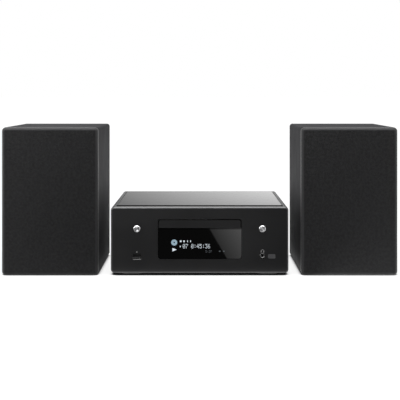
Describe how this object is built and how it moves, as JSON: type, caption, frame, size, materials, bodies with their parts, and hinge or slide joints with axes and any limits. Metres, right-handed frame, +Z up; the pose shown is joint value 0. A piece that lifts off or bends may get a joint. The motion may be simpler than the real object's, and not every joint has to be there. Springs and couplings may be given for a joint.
{
  "type": "mini hifi system",
  "caption": "Compact hi-fi system: a disc receiver with a drawer loader, display window and round keys, between grilled bookshelf loudspeakers.",
  "frame": {"origin": "on the shelf under the middle of the set: half way along its width and along the receiver's depth", "axes": "+Z up, +Y from the front to the back, +X to the viewer's right"},
  "size_m": [0.624, 0.3076, 0.233],
  "materials": {
    "panel_black": "satin black",
    "gloss_black": "polished",
    "polished_metal": "polished",
    "steel": "zinc plated",
    "paint_black": "fine texture black",
    "black_plastic": "matt",
    "grey_plastic": "matt",
    "board_green": "lacquered circuit board",
    "brass_gilt": "gilt",
    "red_plastic": "gloss red",
    "alloy": "extruded",
    "cloth_black": "woven grille cloth",
    "wood_black": "black veneer foil",
    "cone_paper": "coated pulp",
    "rubber_black": "matt",
    "dome_silk": "coated dome",
    "ferrite": "sintered"
  },
  "bodies": {
    "receiver": {"front_panel": "panel_black", "display_window": "gloss_black", "display_board": "board_green", "usb_socket": "steel", "headphone_jack": "black_plastic", "chassis_pan": "steel", "feet": "rubber_black", "top_cover": "paint_black", "top_plate": "gloss_black", "case_screws": "steel", "loader_frame": "black_plastic", "main_board": "board_green", "power_supply": "board_green", "heatsink": "alloy", "rear_panel": "paint_black", "mains_inlet": "black_plastic", "phono_sockets": "black_plastic", "signal_sockets": "steel", "terminal_block": "black_plastic"},
    "power_button": {"power_button": "polished_metal"},
    "eject_button": {"eject_button": "polished_metal"},
    "tray": {"disc_tray": "black_plastic", "tray_front": "panel_black"},
    "drive_gear": {"tray_gear": "grey_plastic"},
    "traverse": {"traverse_frame": "grey_plastic"},
    "sled": {"pickup_sled": "alloy"},
    "spindle": {"turntable": "grey_plastic"},
    "clamp": {"clamper": "grey_plastic"},
    "cap_1": {"terminal_cap_1": "black_plastic"},
    "cap_2": {"terminal_cap_2": "red_plastic"},
    "cap_3": {"terminal_cap_3": "red_plastic"},
    "cap_4": {"terminal_cap_4": "black_plastic"},
    "speaker_left": {"cabinet_left": "wood_black", "front_baffle_left": "wood_black", "woofer_basket_left": "paint_black", "woofer_magnet_left": "ferrite", "woofer_suspension_left": "rubber_black", "tweeter_left": "black_plastic", "port_tube_left": "black_plastic", "terminal_cup_left": "black_plastic"},
    "grille_left": {"grille_frame_left": "black_plastic", "grille_cloth_left": "cloth_black"},
    "woofer_left": {"woofer_cone_left": "cone_paper"},
    "dome_left": {"tweeter_dome_left": "dome_silk"},
    "speaker_cap_red_left": {"terminal_cap_red_left": "red_plastic"},
    "speaker_cap_black_left": {"terminal_cap_black_left": "black_plastic"},
    "speaker_right": {"cabinet_right": "wood_black", "front_baffle_right": "wood_black", "woofer_basket_right": "paint_black", "woofer_magnet_right": "ferrite", "woofer_suspension_right": "rubber_black", "tweeter_right": "black_plastic", "port_tube_right": "black_plastic", "terminal_cup_right": "black_plastic"},
    "grille_right": {"grille_frame_right": "black_plastic", "grille_cloth_right": "cloth_black"},
    "woofer_right": {"woofer_cone_right": "cone_paper"},
    "dome_right": {"tweeter_dome_right": "dome_silk"},
    "speaker_cap_red_right": {"terminal_cap_red_right": "red_plastic"},
    "speaker_cap_black_right": {"terminal_cap_black_right": "black_plastic"}
  },
  "joints": [
    {"name": "power_button_press", "type": "slide", "parent": "receiver", "child": "power_button", "axis": [0, 1, 0], "range_m": [0, 0.0008], "stiffness_N_per_m": 1500},
    {"name": "eject_button_press", "type": "slide", "parent": "receiver", "child": "eject_button", "axis": [0, 1, 0], "range_m": [0, 0.0008], "stiffness_N_per_m": 1500},
    {"name": "tray_slide", "type": "slide", "parent": "receiver", "child": "tray", "axis": [0, -1, 0], "range_m": [0, 0.132]},
    {"name": "tray_gear_turn", "type": "hinge", "parent": "receiver", "child": "drive_gear", "pos_m": [0.048, -0.134, 0.0746], "axis": [0, 0, 1], "range_deg": [-841.8, 1]},
    {"name": "traverse_lift", "type": "slide", "parent": "receiver", "child": "traverse", "axis": [0, 0, 1], "range_m": [0, 0.0104]},
    {"name": "pickup_slide", "type": "slide", "parent": "traverse", "child": "sled", "axis": [0, 1, 0], "range_m": [0, 0.034]},
    {"name": "turntable_spin", "type": "hinge", "parent": "traverse", "child": "spindle", "pos_m": [0, -0.0815, 0.073], "axis": [0, 0, 1], "continuous": true},
    {"name": "clamper_spin", "type": "hinge", "parent": "receiver", "child": "clamp", "pos_m": [0, -0.0815, 0.088], "axis": [0, 0, 1], "continuous": true},
    {"name": "terminal_cap_1_loosen", "type": "slide", "parent": "receiver", "child": "cap_1", "axis": [0, 1, 0], "range_m": [0, 0.004]},
    {"name": "terminal_cap_2_loosen", "type": "slide", "parent": "receiver", "child": "cap_2", "axis": [0, 1, 0], "range_m": [0, 0.004]},
    {"name": "terminal_cap_3_loosen", "type": "slide", "parent": "receiver", "child": "cap_3", "axis": [0, 1, 0], "range_m": [0, 0.004]},
    {"name": "terminal_cap_4_loosen", "type": "slide", "parent": "receiver", "child": "cap_4", "axis": [0, 1, 0], "range_m": [0, 0.004]},
    {"name": "speaker_left_place", "type": "slide", "parent": "receiver", "child": "speaker_left", "axis": [-1, 0, 0], "range_m": [0, 0.3]},
    {"name": "grille_left_off", "type": "slide", "parent": "speaker_left", "child": "grille_left", "axis": [0, -1, 0], "range_m": [0, 0.04]},
    {"name": "woofer_left_stroke", "type": "slide", "parent": "speaker_left", "child": "woofer_left", "axis": [0, 1, 0], "range_m": [-0.003, 0.003], "stiffness_N_per_m": 1000, "deforming": ["woofer_suspension_left"]},
    {"name": "dome_left_stroke", "type": "slide", "parent": "speaker_left", "child": "dome_left", "axis": [0, 1, 0], "range_m": [-0.0003, 0.0003], "stiffness_N_per_m": 1000},
    {"name": "speaker_cap_red_left_loosen", "type": "slide", "parent": "speaker_left", "child": "speaker_cap_red_left", "axis": [0, 1, 0], "range_m": [0, 0.004]},
    {"name": "speaker_cap_black_left_loosen", "type": "slide", "parent": "speaker_left", "child": "speaker_cap_black_left", "axis": [0, 1, 0], "range_m": [0, 0.004]},
    {"name": "speaker_right_place", "type": "slide", "parent": "receiver", "child": "speaker_right", "axis": [1, 0, 0], "range_m": [0, 0.3]},
    {"name": "grille_right_off", "type": "slide", "parent": "speaker_right", "child": "grille_right", "axis": [0, -1, 0], "range_m": [0, 0.04]},
    {"name": "woofer_right_stroke", "type": "slide", "parent": "speaker_right", "child": "woofer_right", "axis": [0, 1, 0], "range_m": [-0.003, 0.003], "stiffness_N_per_m": 1000, "deforming": ["woofer_suspension_right"]},
    {"name": "dome_right_stroke", "type": "slide", "parent": "speaker_right", "child": "dome_right", "axis": [0, 1, 0], "range_m": [-0.0003, 0.0003], "stiffness_N_per_m": 1000},
    {"name": "speaker_cap_red_right_loosen", "type": "slide", "parent": "speaker_right", "child": "speaker_cap_red_right", "axis": [0, 1, 0], "range_m": [0, 0.004]},
    {"name": "speaker_cap_black_right_loosen", "type": "slide", "parent": "speaker_right", "child": "speaker_cap_black_right", "axis": [0, 1, 0], "range_m": [0, 0.004]}
  ],
  "couplings": [
    {"joint": "tray_gear_turn", "follows": "tray_slide", "rad_per_m": -111.11}
  ]
}
